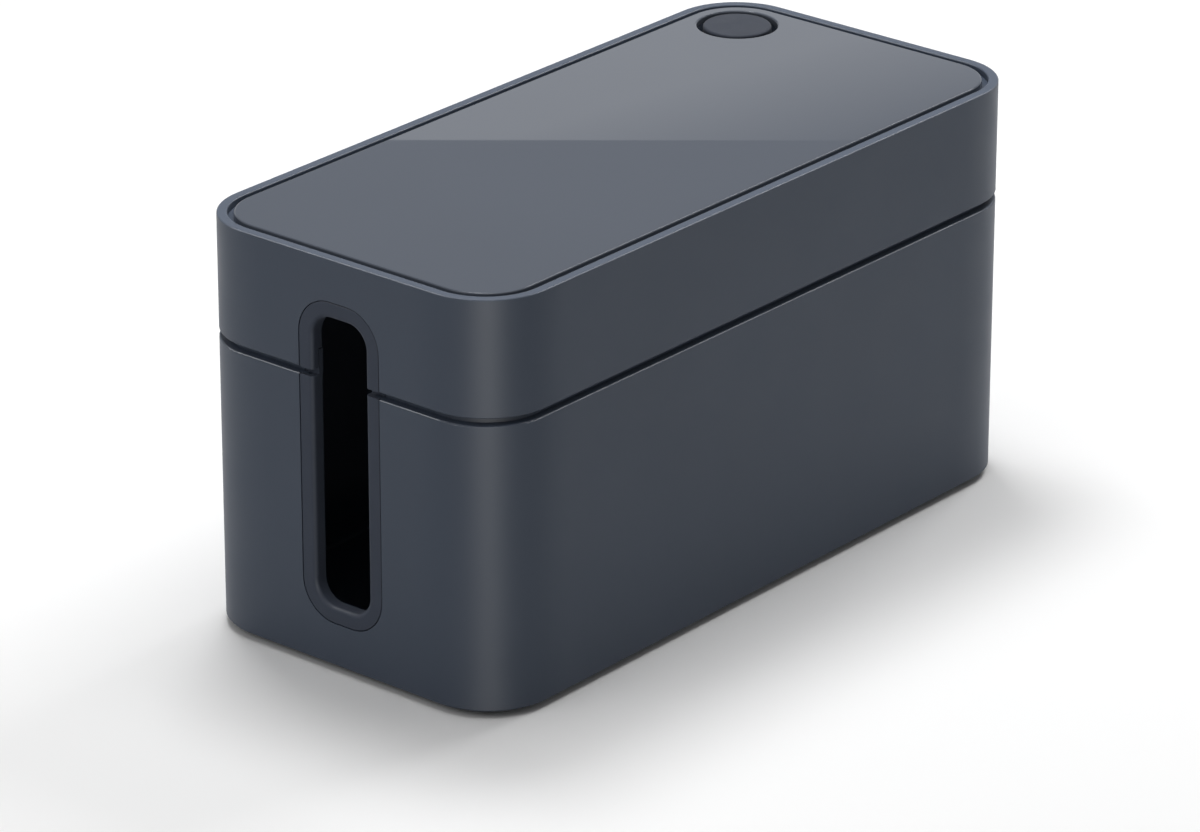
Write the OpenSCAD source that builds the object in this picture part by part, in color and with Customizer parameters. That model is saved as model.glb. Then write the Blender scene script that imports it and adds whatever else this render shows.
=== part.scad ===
// Cable management box: a deep open base, a lift-off lid with a flush top panel,
// two soft-lined cord slots split by the lid's seam, a round outlet with its own plug, and four feet.
// The origin is at the middle of the box, on the surface that the feet stand on. Z is up, X runs along the box.

/* [Box] */
// Length of the box from end to end
box_l = 246; // [200:1:320]
// Depth of the box from front to back
box_w = 116; // [100:1:160]
// Height of the box from the surface it stands on to its top face
box_h = 128; // [120:1:170]
// Radius of the four upright corners, seen from above
corner_r = 21.2; // [19:0.1:27]
// Thickness of the side walls of base and lid
wall = 2.5; // [2.2:0.1:3.2]
// Thickness of the base's floor
floor_t = 2.5; // [2.4:0.1:4]
// Rounding of the base's lower edge
bottom_edge_r = 0.6; // [0.3:0.1:2]
// Rounding of the edges along the seam and round the lid's rim
edge_r = 0.5; // [0.2:0.1:0.8]
// Rounding in the inside corners of both mouldings
inner_fillet_r = 1.2; // [0.5:0.1:2]

/* [Lid] */
// Height of the lid from its lower edge to the top face
lid_h = 35.6; // [30:0.1:45]
// Gap left all round between the base's edge and the lid's edge
seam_gap = 2.2; // [1:0.1:4]
// Width of the flat rim round the top
rim_w = 3.1; // [2.8:0.1:4.5]
// Thickness of the lid's deck under the top panel
deck_t = 1.8; // [1.4:0.1:3]
// Thickness of the ribs that rest on the base's locating lip
rib_t = 1.6; // [1.2:0.1:2.5]
// How far the ribs stand out past the inner face of the locating lip
rib_reach = 0.7; // [0.3:0.1:2]
// Distance from the start of a corner to the first rib on a long side
side_rib_margin = 22; // [12:1:35]
// Distance from the start of a corner to the rib on an end
end_rib_margin = 7; // [2:0.5:9]

/* [Locating lip] */
// How far the base's inner lip rises above the base's edge
lip_rise = 8; // [5:0.5:12]
// Thickness of the locating lip
lip_t = 1.7; // [1.3:0.1:2.2]
// Gap between the lip and the inside of the lid
lip_clear = 0.3; // [0.2:0.05:0.5]
// Height of the thickened band below the base's edge that carries the lip
lip_root = 4; // [2:0.5:8]

/* [Top panel] */
// Thickness of the top panel
panel_t = 2; // [1.6:0.1:3]
// Width of the groove between rim and panel
groove_w = 1.9; // [1:0.1:3]
// Rounding of the panel's upper edge
panel_edge_r = 0.5; // [0.2:0.1:0.8]
// Thickness of the adhesive sheet under the panel
adhesive_t = 0.2; // [0.1:0.05:0.4]
// Distance from the panel's edge to the adhesive sheet's edge
adhesive_inset = 1; // [0.5:0.5:3]

/* [Cord slots] */
// Width of the slot opening in each end
slot_w = 20; // [14:0.5:26]
// Height of the opening's lower end above the standing surface
slot_low = 20.6; // [16:0.1:40]
// Distance from the top face down to the opening's upper end
slot_drop = 18.1; // [15:0.1:24]
// Corner radius of the opening
slot_r = 6.75; // [4:0.25:7]
// Width of the soft trim's lip round the opening
trim_w = 4.9; // [4:0.1:6.5]
// Thickness of the trim's outer lip, which is let into the wall
trim_lip_t = 1.2; // [0.8:0.1:1.5]
// Width of the trim's neck where it passes through the wall
trim_neck_w = 2.3; // [1.6:0.1:3]
// Width of the trim's inner flange round the opening
trim_flange_w = 5; // [4:0.1:6.5]
// Thickness of the trim's inner flange
trim_flange_t = 2; // [1.2:0.1:2.5]
// Rounding of the trim along the mouth of the opening
trim_mouth_r = 1.4; // [0.6:0.1:1.6]
// Rounding of the trim's outer edge, along the wall
trim_edge_r = 0.25; // [0.1:0.05:0.5]
// Gap between the trim's edge and the recess that it lies in
trim_clear = 0.3; // [0.1:0.05:0.4]

/* [Top outlet] */
// Diameter of the outlet hole
outlet_d = 25; // [20:0.5:27]
// Gap round the plug's cap, wide enough for a fingernail
plug_gap = 1.9; // [1:0.1:2.4]
// Depth from the top face to the ledge that the plug stands on
ledge_depth = 8; // [7:0.5:11]
// How far the ledge reaches in from the hole's wall
ledge_w = 2.5; // [1.5:0.1:3.5]
// Thickness of the ledge
ledge_t = 1.6; // [1.2:0.1:2.5]
// Wall of the boss round the outlet hole
boss_wall = 1.6; // [1.2:0.1:2]
// Wall of the hollow plug
plug_wall = 2; // [1.4:0.1:2.6]
// Thickness of the plug's cap
plug_cap_t = 2.4; // [1.6:0.1:4]
// Rounding of the cap's upper edge
plug_edge_r = 0.8; // [0.3:0.1:1.4]
// Thickness of the flange at the plug's foot
plug_flange_t = 2; // [1.2:0.1:3]
// Gap between the plug's flange and the hole's wall
plug_clear = 0.25; // [0.15:0.05:0.4]

/* [Feet] */
// Diameter of each foot
foot_d = 14; // [10:0.5:18]
// How far the feet stand out below the base
foot_rise = 2.2; // [1.5:0.1:4]
// Depth of the round pocket that holds a foot
foot_pocket = 1.2; // [0.8:0.1:1.4]
// Distance from the outside of the box to the middle of a foot
foot_inset = 24; // [20:0.5:30]
// Gap round a foot in its pocket
foot_clear = 0.2; // [0.1:0.05:0.4]
// Height of the raised pad inside the base, over each foot
foot_pad_h = 1; // [0.6:0.1:2]

/* [Hidden] */
$fn = 72;
// Overshoot of a cut past the face that it opens
past = 1;

// Heights
base_low = foot_rise;
floor_top = base_low + floor_t;
lid_low = box_h - lid_h;
base_top = lid_low - seam_gap;
lip_top = base_top + lip_rise;
seat_z = box_h - panel_t - adhesive_t;
deck_low = seat_z - deck_t;
ledge_z = box_h - ledge_depth;
boss_low = ledge_z - ledge_t;

// Centres of the corner arcs, and of the outlet, which shares the arc at the back right
arc_x = box_l / 2 - corner_r;
arc_y = box_w / 2 - corner_r;

// Depths measured inward from the outside face of the walls
lip_out = wall + lip_clear;
lip_in = lip_out + lip_t;
rib_in = lip_in + rib_reach;
panel_inset = rim_w + groove_w;
trim_in = wall + trim_flange_t;

// Slot outline
slot_high = box_h - slot_drop;
slot_arc_x = slot_w / 2 - slot_r;
tongue_top = lip_top - lip_clear;

// Foot pocket
pocket_r = foot_d / 2 + foot_clear;
pad_r = pocket_r + wall / 2;

// Colours
shell_colour = "#40444d";
panel_colour = "#6a6e77";
trim_colour = "#383c46";
plug_colour = "#555961";
foot_colour = "#1f2125";
adhesive_colour = "#d8d8d4";

// ---------------------------------------------------------------- general shapes

// What is cut from a square outer corner at the origin to round it: the solid lies at -x, -y
module nick(r) {
    difference() {
        translate([-r, -r]) square(r + past);
        translate([-r, -r]) circle(r);
    }
}

// The web that rounds a square inner corner at the origin: the open side lies at +x, +y
module web(r) {
    difference() {
        square(r);
        translate([r, r]) circle(r);
    }
}

// Flat bar [x0, x1] by [y0, y1] with a rounding of its own at each corner
module bar(x0, x1, y0, y1, low_x0 = 0, low_x1 = 0, high_x0 = 0, high_x1 = 0) {
    difference() {
        translate([x0, y0]) square([x1 - x0, y1 - y0]);
        if (low_x0 > 0) translate([x0, y0]) rotate(180) nick(low_x0);
        if (low_x1 > 0) translate([x1, y0]) mirror([0, 1]) nick(low_x1);
        if (high_x0 > 0) translate([x0, y1]) mirror([1, 0]) nick(high_x0);
        if (high_x1 > 0) translate([x1, y1]) nick(high_x1);
    }
}

// Sweeps a profile round the box: its x is the distance from a corner arc's centre, its y the height
module round_the_box() {
    for (turn = [0, 180]) rotate(turn) {
        translate([arc_x, arc_y]) rotate_extrude(angle = 90) children();
        translate([-arc_x, arc_y]) rotate([0, 0, 90]) rotate_extrude(angle = 90) children();
        translate([arc_x, arc_y]) rotate([90, 0, 0]) linear_extrude(2 * arc_y) children();
        translate([-arc_x, arc_y]) rotate([90, 0, 90]) linear_extrude(2 * arc_x) children();
    }
}

// Plate with the box's outline drawn in by inset, its upper edge rounded
module inset_plate(inset, z0, z1, high_r = 0) {
    round_the_box() bar(0, corner_r - inset, z0, z1, high_x1 = high_r);
    translate([-arc_x, -arc_y, z0]) cube([2 * arc_x, 2 * arc_y, z1 - z0]);
}

// Puts a shape drawn flat, with its z inward from the wall, on the left end (side -1) or the right end (side 1)
module on_end(side) {
    mirror([side > 0 ? 1 : 0, 0, 0])
        translate([-box_l / 2, 0, 0])
        rotate([90, 0, 90])
        children();
}

// Block through a wall with the slot's outline grown by grow, from one depth to another
module slot_block(grow, depth0, depth1) {
    r = slot_r + grow;
    half = slot_w / 2 + grow;
    low = slot_low - grow;
    high = slot_high + grow;
    translate([0, 0, depth0]) linear_extrude(depth1 - depth0) {
        translate([-half, low + r]) square([2 * half, high - low - 2 * r]);
        translate([-half + r, low]) square([2 * (half - r), high - low]);
        for (x = [-1, 1], y = [low + r, high - r])
            translate([x * (half - r), y]) circle(r);
    }
}

// All the cuts that a slot and its trim need in a shell, on both ends
module slot_cuts() {
    for (side = [-1, 1]) on_end(side) {
        slot_block(trim_w + trim_clear, -past, trim_lip_t);
        slot_block(trim_neck_w + trim_clear, 0, wall + past);
        slot_block(trim_flange_w + lip_clear, wall, rib_in + past);
    }
}

// ---------------------------------------------------------------- base

module base_profile() {
    face = corner_r;
    bar(face - wall, face, base_low, base_top, low_x1 = bottom_edge_r, high_x1 = edge_r);
    bar(0, face - wall, base_low, floor_top);
    translate([face - wall, floor_top]) mirror([1, 0]) web(inner_fillet_r);
    // band that thickens the wall under the lip, sloped underneath
    polygon([
        [face - wall, base_top - lip_root - (lip_in - wall)],
        [face - wall, base_top],
        [face - lip_in, base_top],
        [face - lip_in, base_top - lip_root]
    ]);
    bar(face - lip_in, face - lip_out, base_top - lip_root, lip_top, high_x0 = edge_r, high_x1 = edge_r);
}

module foot_place(x, y) {
    translate([x * (box_l / 2 - foot_inset), y * (box_w / 2 - foot_inset), 0]) children();
}

module base_shell() {
    color(shell_colour) difference() {
        union() {
            round_the_box() base_profile();
            translate([-arc_x, -arc_y, base_low]) cube([2 * arc_x, 2 * arc_y, floor_t]);
            for (x = [-1, 1], y = [-1, 1]) foot_place(x, y)
                translate([0, 0, base_low]) cylinder(r = pad_r, h = floor_t + foot_pad_h);
        }
        slot_cuts();
        for (x = [-1, 1], y = [-1, 1]) foot_place(x, y)
            translate([0, 0, base_low - past]) cylinder(r = pocket_r, h = foot_pocket + past);
    }
}

// ---------------------------------------------------------------- lid

module lid_profile() {
    face = corner_r;
    bar(face - wall, face, lid_low, box_h, low_x1 = edge_r, high_x1 = edge_r);
    bar(face - rim_w, face - wall / 2, deck_low, box_h, high_x0 = edge_r);
    bar(0, face - wall, deck_low, seat_z);
    translate([face - wall, deck_low]) rotate(180) web(inner_fillet_r);
}

// Upright rib against the inside of the wall: its x runs inward from the outside face
module stop_rib() {
    translate([wall / 2, -rib_t / 2, lip_top])
        cube([rib_in - wall / 2, rib_t, seat_z - deck_t / 2 - lip_top]);
}

module stop_ribs() {
    side_x = arc_x - side_rib_margin;
    end_y = arc_y - end_rib_margin;
    for (turn = [0, 180]) rotate(turn) {
        for (x = [-side_x, 0, side_x]) translate([x, -box_w / 2, 0]) rotate(90) stop_rib();
        for (y = [-end_y, end_y]) translate([-box_l / 2, y, 0]) stop_rib();
    }
}

module lid_shell() {
    color(shell_colour) difference() {
        union() {
            round_the_box() lid_profile();
            translate([-arc_x, -arc_y, deck_low]) cube([2 * arc_x, 2 * arc_y, deck_t]);
            stop_ribs();
            translate([arc_x, arc_y, boss_low])
                cylinder(d = outlet_d + 2 * boss_wall, h = seat_z - boss_low);
        }
        slot_cuts();
        translate([arc_x, arc_y, ledge_z]) cylinder(d = outlet_d, h = ledge_depth);
        translate([arc_x, arc_y, boss_low - past])
            cylinder(d = outlet_d - 2 * ledge_w, h = ledge_t + 2 * past);
    }
}

module top_panel() {
    color(panel_colour) difference() {
        inset_plate(panel_inset, box_h - panel_t, box_h, panel_edge_r);
        translate([arc_x, arc_y, seat_z]) cylinder(d = outlet_d, h = panel_t + 2 * past);
        // the hole's rounded mouth
        translate([arc_x, arc_y, 0]) rotate_extrude()
            translate([outlet_d / 2, box_h]) mirror([1, 0]) nick(panel_edge_r);
    }
}

module panel_adhesive() {
    color(adhesive_colour) difference() {
        inset_plate(panel_inset + adhesive_inset, seat_z, seat_z + adhesive_t);
        translate([arc_x, arc_y, seat_z - past])
            cylinder(d = outlet_d + 2 * adhesive_inset, h = adhesive_t + 2 * past);
    }
}

module outlet_plug() {
    cap_r = outlet_d / 2 - plug_gap;
    flange_r = outlet_d / 2 - plug_clear;
    color(plug_colour) translate([arc_x, arc_y, 0]) rotate_extrude() difference() {
        union() {
            bar(0, cap_r, ledge_z, box_h, high_x1 = plug_edge_r);
            bar(cap_r - plug_wall, flange_r, ledge_z, ledge_z + plug_flange_t, high_x1 = edge_r);
        }
        translate([0, ledge_z - past])
            square([cap_r - plug_wall, ledge_depth - plug_cap_t + past]);
    }
}

// ---------------------------------------------------------------- slot trims

// Lip and neck of a trim: x is the distance from the opening's corner centre, y the depth into the wall
module front_profile() {
    difference() {
        union() {
            bar(slot_r, slot_r + trim_w, 0, trim_lip_t, low_x1 = trim_edge_r);
            bar(slot_r, slot_r + trim_neck_w, 0, wall);
        }
        translate([slot_r, 0]) rotate(180) nick(trim_mouth_r);
    }
}

// The whole of a trim, with its flange behind the wall
module trim_profile() {
    front_profile();
    bar(slot_r, slot_r + trim_flange_w, wall, trim_in, high_x0 = edge_r, high_x1 = edge_r);
}

// Straight stretch of a trim's leg, from y0 to y1 on the end's face, on both sides of the opening
module legs(y0, y1) {
    for (flip = [0, 1]) mirror([flip, 0, 0])
        translate([slot_arc_x, y1, 0]) rotate([90, 0, 0]) linear_extrude(y1 - y0) children();
}

// Closed end of a trim: two corners and the bridge between them, with the corner centres at height y
module trim_end(y) {
    for (flip = [0, 1]) mirror([flip, 0, 0])
        translate([slot_arc_x, y, 0]) rotate([0, 0, -90]) rotate_extrude(angle = 90) children();
    translate([slot_arc_x, y, 0]) rotate([90, 0, -90]) linear_extrude(2 * slot_arc_x) children();
}

module base_slot_trim(side) {
    color(trim_colour) on_end(side) {
        trim_end(slot_low + slot_r) trim_profile();
        legs(slot_low + slot_r, base_top) trim_profile();
        // tongues that close the seam behind the lid's trim
        legs(base_top, tongue_top) bar(slot_r, slot_r + trim_flange_w, lip_out, trim_in);
    }
}

module lid_slot_trim(side) {
    color(trim_colour) on_end(side) {
        legs(lid_low, lip_top) front_profile();
        legs(lip_top, slot_high - slot_r) trim_profile();
        translate([0, slot_high - slot_r, 0]) mirror([0, 1, 0]) trim_end(0) trim_profile();
    }
}

// ---------------------------------------------------------------- feet

module foot(x, y) {
    color(foot_colour) foot_place(x, y) rotate_extrude()
        bar(0, foot_d / 2, 0, foot_rise + foot_pocket, low_x1 = edge_r);
}

base_shell();
lid_shell();
top_panel();
panel_adhesive();
outlet_plug();
base_slot_trim(-1);  // base_slot_trim_left
base_slot_trim(1);  // base_slot_trim_right
lid_slot_trim(-1);  // lid_slot_trim_left
lid_slot_trim(1);  // lid_slot_trim_right
foot(-1, -1);  // foot_front_left
foot(1, -1);  // foot_front_right
foot(-1, 1);  // foot_back_left
foot(1, 1);  // foot_back_right
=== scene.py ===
# %% [markdown]
# A cable management box: a deep base, a lift-off lid with a flush top panel, two soft-lined
# cord slots and a round outlet with its own plug. The solids come ready made and in place,
# so this lesson is about what makes them look real: camera, finishes, floor and light.
# %% Start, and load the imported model
from math import cos, pi, radians, sin

import bmesh
import bpy
from mathutils import Matrix, Vector


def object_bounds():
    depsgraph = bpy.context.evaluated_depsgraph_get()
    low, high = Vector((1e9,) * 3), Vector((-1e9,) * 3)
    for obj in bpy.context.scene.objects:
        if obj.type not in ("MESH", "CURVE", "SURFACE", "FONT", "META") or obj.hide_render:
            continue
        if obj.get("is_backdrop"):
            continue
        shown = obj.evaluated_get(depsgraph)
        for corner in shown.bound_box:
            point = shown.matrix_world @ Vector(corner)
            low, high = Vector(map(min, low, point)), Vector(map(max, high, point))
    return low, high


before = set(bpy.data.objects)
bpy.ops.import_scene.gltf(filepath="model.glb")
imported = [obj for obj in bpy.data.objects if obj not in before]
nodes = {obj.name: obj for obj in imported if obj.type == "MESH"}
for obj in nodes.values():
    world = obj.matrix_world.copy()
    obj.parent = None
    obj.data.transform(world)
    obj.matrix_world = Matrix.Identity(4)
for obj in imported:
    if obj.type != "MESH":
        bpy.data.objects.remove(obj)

cad_low, cad_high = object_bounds()
print("loaded", len(nodes), "pieces, spanning", [round(v, 4) for v in cad_high - cad_low], "m")

# %% [markdown]
# The camera stands well back with a long lens, which keeps the box's upright edges nearly
# parallel. A camera looks down its own -Z, so it is turned up by a quarter turn less the
# angle that it looks down, and then swung round the vertical.
# %% Camera
VIEW_AZIMUTH = radians(-50.196)      # which way it looks, seen from above
VIEW_FALL = radians(23.296)          # how steeply it looks down
VIEW_ROLL = radians(0.054)           # how far it leans to one side
CAMERA_PLACE = Vector((-1.31378, -1.08792, 0.77499))
LENS, SENSOR = 186.64, 36.0          # millimetres
NEAREST, FARTHEST = 0.05, 50.0       # metres between which it sees anything

camera_data = bpy.data.cameras.new("camera")
camera_data.lens = LENS
camera_data.sensor_width = SENSOR
camera_data.clip_start = NEAREST
camera_data.clip_end = FARTHEST
camera = bpy.data.objects.new("camera", camera_data)
bpy.context.scene.collection.objects.link(camera)
camera.matrix_world = (Matrix.Translation(CAMERA_PLACE)
                       @ Matrix.Rotation(VIEW_AZIMUTH, 4, "Z")
                       @ Matrix.Rotation(pi / 2 - VIEW_FALL, 4, "X")
                       @ Matrix.Rotation(VIEW_ROLL, 4, "Z"))
bpy.context.scene.camera = camera
box_middle = (cad_low + cad_high) / 2
print("camera", round((CAMERA_PLACE - box_middle).length, 3), "m from the box")

# %% [markdown]
# A finish starts as a fresh material. Its patterns are read in Object coordinates, so that
# they stay fixed to the piece when it moves, and each is brought into the range that its use
# needs.
# %% Helpers for patterns
NOISE_LOW, NOISE_HIGH = 0.3, 0.7     # nearly all of a noise pattern lies between these


def fresh_material(name):
    material = bpy.data.materials.new(name)
    material.use_nodes = True
    tree = material.node_tree
    return material, tree, tree.nodes["Principled BSDF"]


def cloudy(tree, scale, detail=2.0):
    place = tree.nodes.new("ShaderNodeTexCoord")
    noise = tree.nodes.new("ShaderNodeTexNoise")
    noise.inputs["Scale"].default_value = scale
    noise.inputs["Detail"].default_value = detail
    tree.links.new(place.outputs["Object"], noise.inputs["Vector"])
    return noise.outputs["Fac"]


def ranged(tree, value, start, end, low, high):
    """The value moved from the range start to end into low to high, and never past it."""
    node = tree.nodes.new("ShaderNodeMapRange")
    limits = {"From Min": start, "From Max": end, "To Min": low, "To Max": high}
    for name, number in limits.items():
        node.inputs[name].default_value = number
    tree.links.new(value, node.inputs["Value"])
    return node.outputs["Result"]


def squeeze(tree, pattern, low, high):
    return ranged(tree, pattern, NOISE_LOW, NOISE_HIGH, low, high)


print("noise is taken to lie between", NOISE_LOW, "and", NOISE_HIGH)

# %% [markdown]
# Three such patterns make a finish. One tints the colour, a finer one shifts the roughness,
# and the finest is the grain, a bump: it changes how light falls on the piece, and not its
# shape.
# %% Helpers for finishes
DRIFT_FINER = 2.3                    # patches of roughness to one patch of colour, in a row
FINE_DETAIL = 3.0                    # layers of ever finer noise in the two finer patterns


def tinted(tree, shader, pattern, colour, spread):
    mix = tree.nodes.new("ShaderNodeMix")
    mix.data_type = "RGBA"
    mix.inputs["A"].default_value = (*[c * (1 - spread) for c in colour], 1)
    mix.inputs["B"].default_value = (*[c * (1 + spread) for c in colour], 1)
    tree.links.new(squeeze(tree, pattern, 0.0, 1.0), mix.inputs["Factor"])
    tree.links.new(mix.outputs["Result"], shader.inputs["Base Color"])


def bumped(tree, shader, pattern, depth, strength):
    bump = tree.nodes.new("ShaderNodeBump")
    bump.inputs["Distance"].default_value = depth
    bump.inputs["Strength"].default_value = strength
    tree.links.new(pattern, bump.inputs["Height"])
    tree.links.new(bump.outputs["Normal"], shader.inputs["Normal"])


def finish(name, colour, *, spread, patch, roughness, grain, depth, strength, level,
           sheen=(0.0, 0.5)):
    """A material whose patch and grain count to the metre; the bump's depth is in metres."""
    material, tree, shader = fresh_material(name)
    shader.inputs["Specular IOR Level"].default_value = level
    shader.inputs["Sheen Weight"].default_value = sheen[0]
    shader.inputs["Sheen Roughness"].default_value = sheen[1]
    tinted(tree, shader, cloudy(tree, patch), colour, spread)
    drift = squeeze(tree, cloudy(tree, patch * DRIFT_FINER, FINE_DETAIL), *roughness)
    tree.links.new(drift, shader.inputs["Roughness"])
    bumped(tree, shader, cloudy(tree, grain, FINE_DETAIL), depth, strength)
    print("finish", name, "roughness", roughness, "grain", round(1000 / grain, 2), "mm")
    return material


print("roughness has patches", DRIFT_FINER, "times as fine as the colour has")

# %% [markdown]
# The base and the lid are mouldings in a grey-blue plastic. The steel mould is spark eroded,
# which leaves a very fine matt grain and hides finger marks. The grain is a bump under half a
# millimetre across, and the roughness drifts a little, as it does on a real moulding.
# %% Moulded shells
SHELL_COLOUR = (0.063, 0.081, 0.116)
shell_finish = finish("moulded_shell", SHELL_COLOUR, spread=0.025, patch=22.0,
                      roughness=(0.42, 0.48), grain=2400.0, depth=0.00002, strength=0.2,
                      level=0.24)

# %% [markdown]
# The walls don't meet the round corners abruptly. They start to turn about a centimetre
# before, so slowly that the outline hardly changes, but a highlight does. The shading follows
# that softer curve: a wall's normal leans towards the corner by the rule of a squared-off
# ring. Maths nodes work the lean out from the place on the wall.
# %% How far a wall leans
SOFT_RADIUS = 0.032                  # metres short of the box's outer face, where a lean starts
SOFT_POWER = 1.7                     # 1 would give a round ring, and more a squarer one


def joined(tree, operation, *values, kind="Math", answer="Value"):
    """What a maths node makes of the values, each a socket or a plain number or vector."""
    node = tree.nodes.new("ShaderNode" + kind)
    node.operation = operation
    for socket, value in zip(node.inputs, values):
        if isinstance(value, bpy.types.NodeSocket):
            tree.links.new(value, socket)
        else:
            socket.default_value = value
    return node.outputs[answer]


def towards_corner(tree, value, half):
    """How far the rule leans a wall that runs along this axis, with the axis's own sign."""
    past = joined(tree, "SUBTRACT", joined(tree, "ABSOLUTE", value), half - SOFT_RADIUS)
    share = joined(tree, "DIVIDE", joined(tree, "MAXIMUM", past, 0.0), SOFT_RADIUS)
    amount = joined(tree, "POWER", share, SOFT_POWER)
    return joined(tree, "MULTIPLY", amount, joined(tree, "SIGN", value))


print("corners lean from", round(1000 * SOFT_RADIUS, 1), "mm in")

# %% [markdown]
# Only the upright walls lean. A face whose own normal is nearly the ring's counts as one, and
# every other face, such as a rounded edge or the flat rim, keeps its normal. The leaning
# normal goes into the grain's bump node, so the shells have both.
# %% Soft start of the corners
WALL_AGREES = 0.97                   # least cosine of the angle between the two normals

shell_tree = shell_finish.node_tree
spot = shell_tree.nodes.new("ShaderNodeTexCoord")
at_spot = shell_tree.nodes.new("ShaderNodeSeparateXYZ")
shell_tree.links.new(spot.outputs["Object"], at_spot.inputs["Vector"])
ring = shell_tree.nodes.new("ShaderNodeCombineXYZ")
for axis, half in (("X", cad_high.x), ("Y", cad_high.y)):
    leaning = towards_corner(shell_tree, at_spot.outputs[axis], half)
    shell_tree.links.new(leaning, ring.inputs[axis])
outwards = joined(shell_tree, "NORMALIZE", ring.outputs["Vector"],
                  kind="VectorMath", answer="Vector")
agreement = joined(shell_tree, "DOT_PRODUCT", outwards, spot.outputs["Normal"],
                   kind="VectorMath")
lean = shell_tree.nodes.new("ShaderNodeMix")
lean.data_type = "VECTOR"
shell_tree.links.new(joined(shell_tree, "GREATER_THAN", agreement, WALL_AGREES),
                     lean.inputs["Factor"])
shell_tree.links.new(spot.outputs["Normal"], lean.inputs["A"])
shell_tree.links.new(outwards, lean.inputs["B"])
grain_bump = next(n for n in shell_tree.nodes if n.bl_idname == "ShaderNodeBump")
shell_tree.links.new(lean.outputs["Result"], grain_bump.inputs["Normal"])
print("shell finish has", len(shell_tree.nodes), "nodes")

# %% [markdown]
# The top panel is a separate polished sheet of nearly the same colour, so it mirrors the room
# where the shells only shine. It gets a low roughness, and a bump so broad and shallow that
# it only makes long reflections waver, as they do in any moulded sheet.
# %% Polished top panel
PANEL_COLOUR = (0.089, 0.101, 0.125)
panel_finish = finish("polished_panel", PANEL_COLOUR, spread=0.015, patch=14.0,
                      roughness=(0.004, 0.008), grain=110.0, depth=0.0000003, strength=0.1,
                      level=0.17)

# %% [markdown]
# The slot trims and the outlet's plug are soft to the touch. Soft plastic scatters light in
# its skin, so it looks powdery at a glancing angle: a little sheen does that, over a rougher
# surface than the shells have.
# %% Soft trims and plug
TRIM_COLOUR = (0.062, 0.074, 0.103)
PLUG_COLOUR = (0.036, 0.042, 0.057)
SOFT_TOUCH = dict(spread=0.04, patch=60.0, grain=1700.0, depth=0.00003, strength=0.3,
                  level=0.10, sheen=(0.05, 0.45))
trim_finish = finish("soft_trim", TRIM_COLOUR, roughness=(0.50, 0.60), **SOFT_TOUCH)
plug_finish = finish("soft_plug", PLUG_COLOUR, roughness=(0.45, 0.55), **SOFT_TOUCH)

# %% [markdown]
# The feet are dark rubber with a coarser, duller grain. The sheet that holds the panel down
# is a pale film, hidden between the panel and the lid's deck. It gets a finish all the same,
# for whoever takes the box apart.
# %% Feet and adhesive film
FOOT_COLOUR = (0.015, 0.015, 0.017)
FILM_COLOUR = (0.60, 0.60, 0.58)
foot_finish = finish("foot_rubber", FOOT_COLOUR, spread=0.12, patch=90.0,
                     roughness=(0.58, 0.72), grain=1300.0, depth=0.00005, strength=0.4,
                     level=0.3)
film_finish = finish("adhesive_film", FILM_COLOUR, spread=0.03, patch=120.0,
                     roughness=(0.28, 0.38), grain=900.0, depth=0.00001, strength=0.2,
                     level=0.5)

# %% [markdown]
# The pieces keep their own meshes, which are exact. Only the material in each piece's slot
# changes, chosen by what the piece is called.
# %% Dress every piece
FINISHES = {"trim": trim_finish, "plug": plug_finish, "foot": foot_finish,
            "adhesive": film_finish, "top_panel": panel_finish, "shell": shell_finish}
for name, node in nodes.items():
    chosen = next(material for word, material in FINISHES.items() if word in name)
    node.data.materials.clear()
    node.data.materials.append(chosen)
    print("dressed", name, "in", chosen.name)

# %% [markdown]
# Surroundings as white as they look would light the box too strongly. Light Path tells the
# rays apart: those from the camera, off a mirror or through glass see white, and those that
# only carry light get a duller room.
# %% Which rays see the white
SEEING_RAYS = ("Is Camera Ray", "Is Glossy Ray", "Is Transmission Ray")


def seen_ray(tree):
    """1 for a ray from the camera, off a mirror or through glass, and 0 for any other."""
    path = tree.nodes.new("ShaderNodeLightPath")
    seen = path.outputs[SEEING_RAYS[0]]
    for other in SEEING_RAYS[1:]:
        seen = joined(tree, "MAXIMUM", seen, path.outputs[other])
    return seen


def surfaced(tree, shader):
    tree.links.new(shader, tree.nodes["Material Output"].inputs["Surface"])


print("white is seen where", " or ".join(SEEING_RAYS))

# %% [markdown]
# The floor is a plain pale sheet, wide enough that its edge never shows. It is lit by the
# lamps like everything else, so it keeps the box's shadow. To a ray that sees it, it is nearly
# white; the light that it throws back on the box is that of a duller sheet, so that the sides
# stay darker than the top. The lamps reach only the middle of the sheet, so further out a
# glow of its own keeps it pale.
# %% Floor finish
FLOOR_SEEN = (0.87, 0.87, 0.87, 1)
FLOOR_THROWN = (0.32, 0.32, 0.32, 1)
FLOOR_ROUGHNESS, FLOOR_LEVEL = 0.7, 0.1
FAR_START, FAR_END, FAR_GLOW = 0.65, 1.7, 0.72  # metres from the box, and a strength of glow

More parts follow.
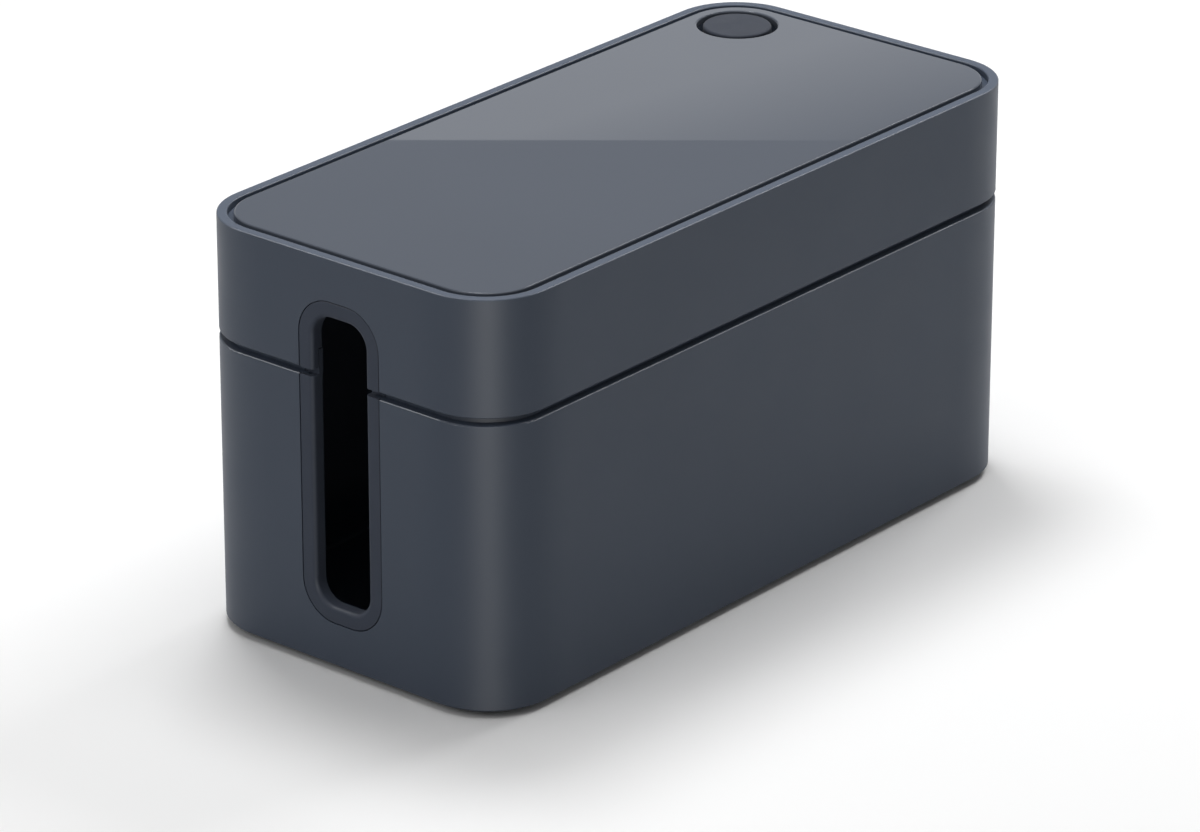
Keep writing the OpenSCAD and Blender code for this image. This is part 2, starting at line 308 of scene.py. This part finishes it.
floor_finish, floor_tree, pale = fresh_material("pale_floor")
pale.inputs["Base Color"].default_value = FLOOR_SEEN
pale.inputs["Roughness"].default_value = FLOOR_ROUGHNESS
pale.inputs["Specular IOR Level"].default_value = FLOOR_LEVEL
pale.inputs["Emission Color"].default_value = (1, 1, 1, 1)
on_floor = floor_tree.nodes.new("ShaderNodeTexCoord")
away = joined(floor_tree, "LENGTH", on_floor.outputs["Object"], kind="VectorMath")
far_glow = ranged(floor_tree, away, FAR_START, FAR_END, 0.0, FAR_GLOW)
floor_tree.links.new(far_glow, pale.inputs["Emission Strength"])
dull = floor_tree.nodes.new("ShaderNodeBsdfDiffuse")
dull.inputs["Color"].default_value = FLOOR_THROWN
two_faced = floor_tree.nodes.new("ShaderNodeMixShader")
floor_tree.links.new(seen_ray(floor_tree), two_faced.inputs["Fac"])
floor_tree.links.new(dull.outputs["BSDF"], two_faced.inputs[1])
floor_tree.links.new(pale.outputs["BSDF"], two_faced.inputs[2])
surfaced(floor_tree, two_faced.outputs["Shader"])
floor_finish.cycles.emission_sampling = "NONE"
print("floor seen at", FLOOR_SEEN[0], "and throws back", FLOOR_THROWN[0])

# %% [markdown]
# The sheet itself is a grid of a single square, because nothing about it bends. It belongs to
# the stage and not to the box, so it is declared as stage and is left out where the model
# alone is wanted. The wall needs the same steps later, so they are a helper.
# %% Floor
FLOOR_HALF = 4.0                     # metres from the middle of the sheet to its edge


def stage_object(name, shape, material):
    mesh = bpy.data.meshes.new(name)
    shape.to_mesh(mesh)
    shape.free()
    mesh.materials.append(material)
    thing = bpy.data.objects.new(name, mesh)
    bpy.context.scene.collection.objects.link(thing)
    thing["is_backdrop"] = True
    print(name, [round(v, 2) for v in thing.dimensions], "m")


sheet = bmesh.new()
bmesh.ops.create_grid(sheet, x_segments=1, y_segments=1, size=FLOOR_HALF)
stage_object("floor", sheet, floor_finish)

# %% [markdown]
# A white wall stands on the floor all round the box, in twelve flat stretches. The polished
# panel mirrors the top of the stretch behind the box, and that top edge is the crisp line
# across the panel: white wall beyond it, the grey of the room on this side. A mirror shows an
# edge higher or lower as the wall is raised or lowered, so the wall's height comes from where
# the line falls.
# %% The white wall
WALL_AWAY = 3.6                      # from the box to the middle of a stretch
WALL_HEIGHT = 1.492
WALL_SIDES = 12

half_stretch = pi / WALL_SIDES       # the angle from a stretch's middle to its end
wall_shape = bmesh.new()
outline = bmesh.ops.create_circle(wall_shape, segments=WALL_SIDES,
                                  radius=WALL_AWAY / cos(half_stretch))
turned = Matrix.Rotation(VIEW_AZIMUTH + half_stretch, 4, "Z")
bmesh.ops.transform(wall_shape, matrix=turned, verts=outline["verts"])
raised = bmesh.ops.extrude_edge_only(wall_shape, edges=wall_shape.edges[:])
top_verts = [v for v in raised["geom"] if isinstance(v, bmesh.types.BMVert)]
bmesh.ops.translate(wall_shape, vec=(0, 0, WALL_HEIGHT), verts=top_verts)
print("wall raised on", len(top_verts), "corners")

# %% [markdown]
# The wall glows by itself, so that no lamp is spent on it: white, a strength of 1, to every ray
# that sees it, and the room's own grey to the rays that only carry light. Near its top the
# glow falls off to the right, as the light on a real wall does, and the panel shows that too.
# %% The wall's glow
ROOM_GREY = 0.24
RIGHTWARDS = (cos(VIEW_AZIMUTH), sin(VIEW_AZIMUTH), 0.0)  # along the wall behind the box
FADE_START, FADE_END = 1.460, 1.580  # heights between which the glow sinks to the room's grey
SLANT_REACH, SLANT_DROP = 0.4, 0.128  # this far to the right, the fade lies this much lower

wall_finish, wall_tree, plain_shader = fresh_material("white_wall")
wall_tree.nodes.remove(plain_shader)
on_wall = wall_tree.nodes.new("ShaderNodeTexCoord")
split = wall_tree.nodes.new("ShaderNodeSeparateXYZ")
wall_tree.links.new(on_wall.outputs["Object"], split.inputs["Vector"])
along = joined(wall_tree, "DOT_PRODUCT", on_wall.outputs["Object"], RIGHTWARDS,
               kind="VectorMath")
drop = ranged(wall_tree, along, -SLANT_REACH, SLANT_REACH, -SLANT_DROP, SLANT_DROP)
slant = joined(wall_tree, "ADD", split.outputs["Z"], drop)
strength = wall_tree.nodes.new("ShaderNodeMix")
strength.inputs["A"].default_value = ROOM_GREY
wall_tree.links.new(seen_ray(wall_tree), strength.inputs["Factor"])
wall_tree.links.new(ranged(wall_tree, slant, FADE_START, FADE_END, 1.0, ROOM_GREY),
                    strength.inputs["B"])
glow = wall_tree.nodes.new("ShaderNodeEmission")
wall_tree.links.new(strength.outputs["Result"], glow.inputs["Strength"])
surfaced(wall_tree, glow.outputs["Emission"])
wall_finish.cycles.emission_sampling = "NONE"
stage_object("white_wall", wall_shape, wall_finish)

# %% [markdown]
# The rest of the room is a plain grey, the same in every direction. It is the soft light that
# reaches into the seam and fills the shadows.
# %% Room
world = bpy.data.worlds.new("studio")
bpy.context.scene.world = world
world.use_nodes = True
room_light = world.node_tree.nodes["Background"]
room_light.inputs["Color"].default_value = (ROOM_GREY, ROOM_GREY, ROOM_GREY, 1)
print("room grey", ROOM_GREY)

# %% [markdown]
# Softboxes are area lamps. A lamp shines down its own -Z, so its Z is pointed away from what
# it lights. Two hang overhead: the wide one keeps the top even, and the small one draws the
# shadow. One more stands on each side. The camera doesn't see the lamps themselves.
# %% Softboxes
AT_FOOT = (0, 0, 0)                  # what a lamp points at: the box's middle, at this height
AT_WAIST = (0, 0, 0.05)


def softbox(name, place, target, size, watts):
    data = bpy.data.lights.new(name, "AREA")
    data.shape = "RECTANGLE"
    data.size, data.size_y = size
    data.energy = watts
    lamp = bpy.data.objects.new(name, data)
    bpy.context.scene.collection.objects.link(lamp)
    turn = (Vector(place) - Vector(target)).to_track_quat("Z", "Y")
    lamp.matrix_world = Matrix.Translation(place) @ turn.to_matrix().to_4x4()
    lamp.visible_camera = False
    print("softbox", name, size, "m", watts, "W")
    return lamp


softbox("wide_overhead", (0, 0, 1.5), AT_FOOT, (1.2, 1.2), 8.0)
softbox("small_overhead", (0.17, 0.31, 1.12), AT_FOOT, (0.38, 0.38), 6.2)
softbox("right_side", (0.9, -0.06, 1.0), AT_WAIST, (0.5, 0.5), 5.6)
softbox("left_side", (-1.06, 0.26, 0.74), AT_WAIST, (0.7, 0.7), 2.3)

# %% [markdown]
# Three more lamps add gloss only. One, low and far off, draws the upright highlight on the
# near corner, and two stand where the rounded edges mirror them, for the thin bright lines
# along the seam and the rim. They are linked to the shells and the trims alone, or the
# polished panel would mirror each as a hard white patch from some sides.
# %% Lamps for gloss alone
AT_SEAM = (0, 0, 0.09)
AT_NEAR_CORNER = (-0.11, -0.05, 0.03)
gloss_takers = bpy.data.collections.new("gloss_takers")
for name, node in nodes.items():
    if "shell" in name or "trim" in name:
        gloss_takers.objects.link(node)


def gloss_lamp(name, place, target, size, watts):
    lamp = softbox(name, place, target, size, watts)
    lamp.visible_diffuse = False
    lamp.light_linking.receiver_collection = gloss_takers


gloss_lamp("corner_highlight", (-1.78, -1.52, 0.06), AT_NEAR_CORNER, (1.2, 0.10), 76.0)
gloss_lamp("edge_highlight_right", (0.92, -0.51, 0.83), AT_SEAM, (0.25, 0.25), 14.0)
gloss_lamp("edge_highlight_left", (-0.51, 0.76, 0.98), AT_SEAM, (0.25, 0.25), 20.0)

# %% [markdown]
# Blender can bend colours as a film would. Standard shows them as they are, so that each
# finish keeps the colour that it was given.
# %% How colours are shown
view_settings = bpy.context.scene.view_settings
view_settings.view_transform = "Standard"
print("view transform", view_settings.view_transform)

# %% [markdown]
# Now the dressed model is measured against the bare solids. Looks must not change sizes.
# %% Measure
low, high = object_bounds()
change = max(abs(a - b) for a, b in zip([*low, *high], [*cad_low, *cad_high]))
print("dressed model differs from the solids by", round(change, 6), "m")
